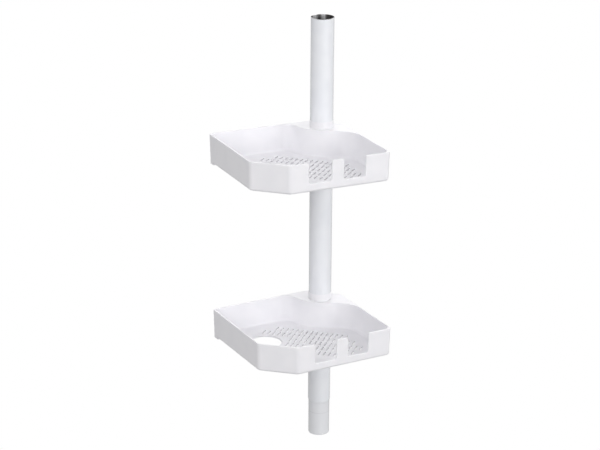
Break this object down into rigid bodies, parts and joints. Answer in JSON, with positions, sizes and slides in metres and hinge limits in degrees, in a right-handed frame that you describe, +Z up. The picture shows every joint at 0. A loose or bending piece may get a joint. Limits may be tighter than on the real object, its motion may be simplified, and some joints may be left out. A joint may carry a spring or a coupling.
{
  "type": "tension pole shelf unit",
  "caption": "Section of a spring tension pole that carries corner trays on split locking sleeves, each with open front notches, a floor hole and drain slots.",
  "frame": {"origin": "on the pole's axis, at the lower end of the male end that the next pole section takes", "axes": "+Z up along the pole, +X to the right along the upper tray's front edge, +Y from its front edge to its back edge"},
  "size_m": [0.1964, 0.1833, 0.616],
  "materials": {
    "pole_enamel": "smooth white enamel on steel tube, bare steel inside",
    "tray_plastic": "moulded white plastic, semi-gloss",
    "sleeve_plastic": "moulded white plastic, semi-gloss",
    "grip_rubber": "matt grey rubber",
    "inner_plastic": "matt grey plastic",
    "spring_steel": "bright drawn spring wire"
  },
  "bodies": {
    "pole": {"pole_tube": "pole_enamel", "spring_seat": "inner_plastic", "tension_spring": "spring_steel"},
    "plunger": {"spring_plunger": "inner_plastic"},
    "upper_sleeve": {"upper_sleeve_front": "sleeve_plastic", "upper_sleeve_back": "sleeve_plastic", "upper_grip_pad_front": "grip_rubber", "upper_grip_pad_back": "grip_rubber"},
    "upper_shelf": {"upper_tray": "tray_plastic"},
    "lower_sleeve": {"lower_sleeve_front": "sleeve_plastic", "lower_sleeve_back": "sleeve_plastic", "lower_grip_pad_front": "grip_rubber", "lower_grip_pad_back": "grip_rubber"},
    "lower_shelf": {"lower_tray": "tray_plastic"}
  },
  "joints": [
    {"name": "upper_shelf_height", "type": "slide", "parent": "pole", "child": "upper_sleeve", "axis": [0, 0, 1], "range_m": [-0.085, 0.12]},
    {"name": "upper_shelf_swivel", "type": "hinge", "parent": "upper_sleeve", "child": "upper_shelf", "pos_m": [0, 0, 0.4635], "axis": [0, 0, 1], "continuous": true},
    {"name": "lower_shelf_height", "type": "slide", "parent": "pole", "child": "lower_sleeve", "axis": [0, 0, 1], "range_m": [-0.09, 0.085]},
    {"name": "lower_shelf_swivel", "type": "hinge", "parent": "lower_sleeve", "child": "lower_shelf", "pos_m": [0, 0, 0.2108], "axis": [0, 0, 1], "continuous": true},
    {"name": "tension_spring_travel", "type": "slide", "parent": "pole", "child": "plunger", "axis": [0, 0, 1], "range_m": [-0.035, 0], "stiffness_N_per_m": 2500, "deforming": ["tension_spring"]}
  ]
}
